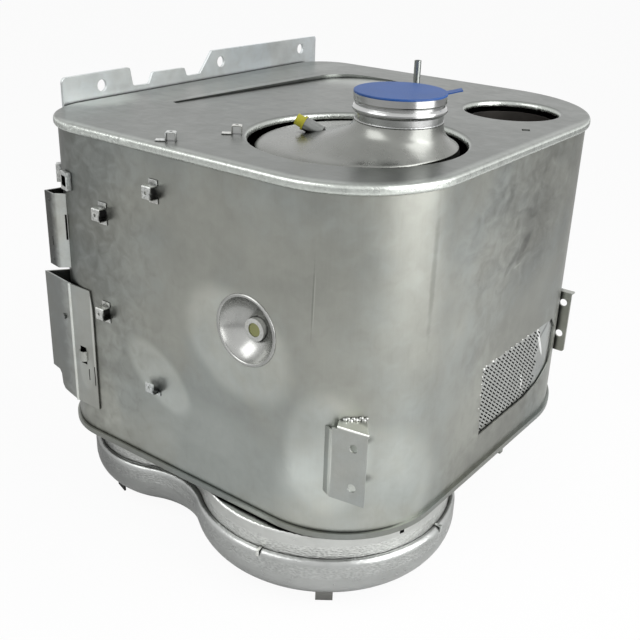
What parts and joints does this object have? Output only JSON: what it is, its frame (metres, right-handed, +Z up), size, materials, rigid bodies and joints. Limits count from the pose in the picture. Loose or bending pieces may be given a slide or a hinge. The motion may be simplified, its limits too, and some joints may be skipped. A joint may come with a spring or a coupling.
{
  "type": "exhaust emission box",
  "caption": "Tall sheet steel exhaust treatment box with rounded corners, capped inlet cone and outlet hole in the lid, side flange, brackets and a peanut shaped transfer pan below.",
  "frame": {"origin": "outer mouth of the middle hole of the mounting flange", "axes": "+Z up, +X from the flange along the front wall, +Y from the front wall to the back wall"},
  "size_m": [0.6726, 0.765, 0.7465],
  "materials": {
    "casing_steel": "satin stainless sheet, fine brushed",
    "plate_steel": "satin cut plate",
    "spun_steel": "brighter spun and turned steel",
    "clip_steel": "bright pressed clips",
    "blue_cap": "thin moulded blue plastic",
    "yellow_plug": "moulded yellow plastic",
    "mesh_steel": "expanded sheet",
    "duct_steel": "dull heat-resistant sheet",
    "honeycomb": "unglazed fine honeycomb",
    "fibre_mat": "pressed fibre blanket"
  },
  "bodies": {
    "root": {"bracket_rivet": "spun_steel", "casing_shell": "casing_steel", "corner_clips": "clip_steel", "filter_can": "duct_steel", "floor_tray": "casing_steel", "front_bracket": "plate_steel", "front_clips": "clip_steel", "inlet_cap": "blue_cap", "inlet_cone": "spun_steel", "inlet_neck": "spun_steel", "inlet_sensor_boss": "spun_steel", "inlet_sensor_plug": "yellow_plug", "lid": "casing_steel", "lid_clips": "clip_steel", "low_header": "duct_steel", "lower_corner_bracket": "plate_steel", "mesh_screen": "mesh_steel", "mesh_spacers": "mesh_steel", "mixer_vanes": "duct_steel", "mixing_tube": "duct_steel", "mounting_flange": "plate_steel", "outlet_cone": "duct_steel", "oxidation_block": "honeycomb", "oxidation_mat": "fibre_mat", "pan_clips": "clip_steel", "pan_collar": "casing_steel", "pan_feet": "clip_steel", "particulate_block": "honeycomb", "particulate_mat": "fibre_mat", "pressure_pipe": "spun_steel", "rear_bracket": "plate_steel", "reduction_blocks": "honeycomb", "reduction_can": "duct_steel", "reduction_mats": "fibre_mat", "sensor_dish": "casing_steel", "side_sensor_boss": "spun_steel", "side_sensor_plug": "yellow_plug", "slip_block": "honeycomb", "slip_can": "duct_steel", "slip_mat": "fibre_mat", "top_header": "duct_steel", "transfer_pan": "casing_steel", "upper_corner_bracket": "plate_steel"}
  },
  "joints": []
}
